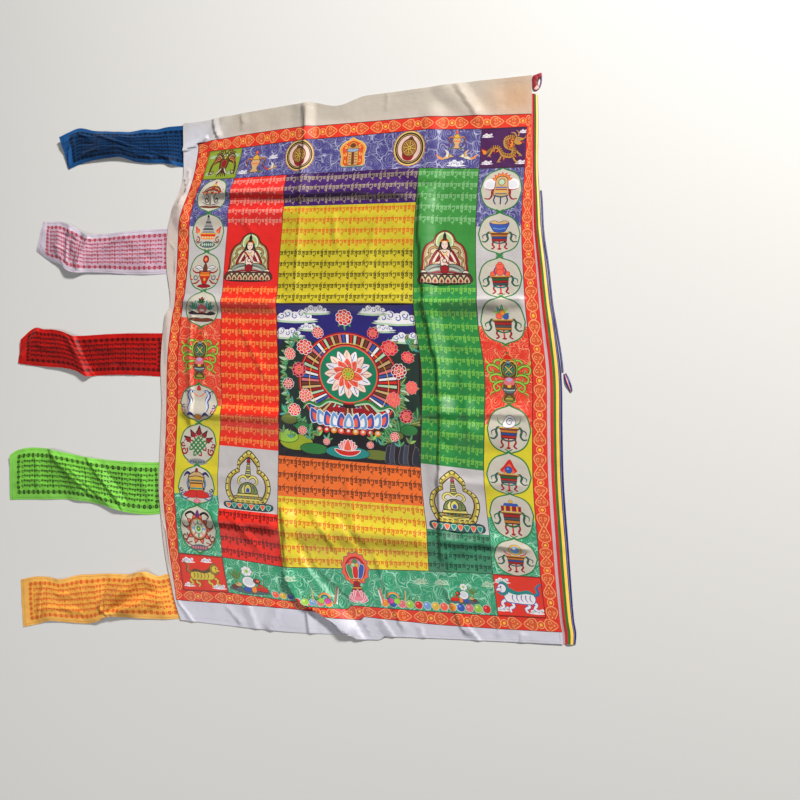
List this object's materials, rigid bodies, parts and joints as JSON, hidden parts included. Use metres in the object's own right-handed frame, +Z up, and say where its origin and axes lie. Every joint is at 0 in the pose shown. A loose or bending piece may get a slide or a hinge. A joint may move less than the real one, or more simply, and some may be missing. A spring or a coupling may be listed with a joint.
{
  "type": "prayer flag",
  "caption": "Tall vertical prayer flag of printed satin, laid out flat, with streamers down one side and a striped edge ribbon, a corner loop and short ties down the other.",
  "frame": {"origin": "centre of the whole laid-out flag, on the surface that it lies on", "axes": "+X across the flag towards its ribboned pole edge, +Y up the flag, +Z up out of its printed face"},
  "size_m": [1.2236, 1.109, 0.0132],
  "materials": {
    "printed_satin": "printed satin, soft sheen",
    "blue_satin": "printed satin, soft sheen",
    "white_satin": "printed satin, soft sheen",
    "red_satin": "printed satin, soft sheen",
    "green_satin": "printed satin, soft sheen",
    "yellow_satin": "printed satin, soft sheen",
    "striped_ribbon": "woven ribbon in lengthwise stripes, matt",
    "loop_ribbon": "woven ribbon, matt",
    "upper_tie": "narrow woven tape, matt",
    "lower_tie": "narrow woven tape, matt"
  },
  "bodies": {
    "root": {"flag_panel": "printed_satin", "streamer_blue": "blue_satin", "streamer_white": "white_satin", "streamer_red": "red_satin", "streamer_green": "green_satin", "streamer_yellow": "yellow_satin", "edge_ribbon": "striped_ribbon", "corner_loop": "loop_ribbon", "tie_upper": "upper_tie", "tie_lower": "lower_tie"}
  },
  "joints": []
}
